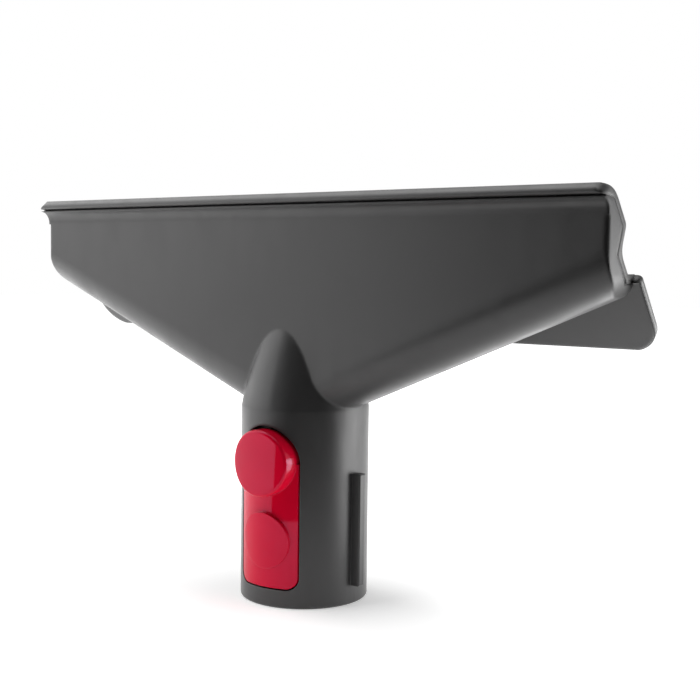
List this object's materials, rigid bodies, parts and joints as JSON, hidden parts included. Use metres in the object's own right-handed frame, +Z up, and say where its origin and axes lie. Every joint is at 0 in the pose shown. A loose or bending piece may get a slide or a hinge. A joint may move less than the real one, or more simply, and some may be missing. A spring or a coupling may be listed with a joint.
{
  "type": "vacuum mattress nozzle",
  "caption": "Wide fan-shaped mattress nozzle with an inclined sole, suction channel and quick-release collar with a sprung release lever.",
  "frame": {"origin": "centre of the wand socket at the collar's open end", "axes": "+Z up the collar towards the mouth, +X along the mouth's width, -Y is the side of the release lever"},
  "size_m": [0.2222, 0.0458, 0.1287],
  "materials": {
    "grey_plastic": "satin moulded",
    "red_plastic": "gloss moulded",
    "steel": "bright drawn"
  },
  "bodies": {
    "nozzle": {"duct_body": "grey_plastic", "sole_plate": "grey_plastic", "socket_sleeve": "grey_plastic", "hinge_pin": "steel", "return_spring": "steel"},
    "lever": {"release_lever": "red_plastic"}
  },
  "joints": [
    {"name": "lever_press", "type": "hinge", "parent": "nozzle", "child": "lever", "pos_m": [0, -0.0182, 0.013], "axis": [-1, 0, 0], "range_deg": [0, 2.2], "stiffness_Nm_per_rad": 2, "springref_deg": -1.72, "deforming": ["return_spring"]}
  ]
}
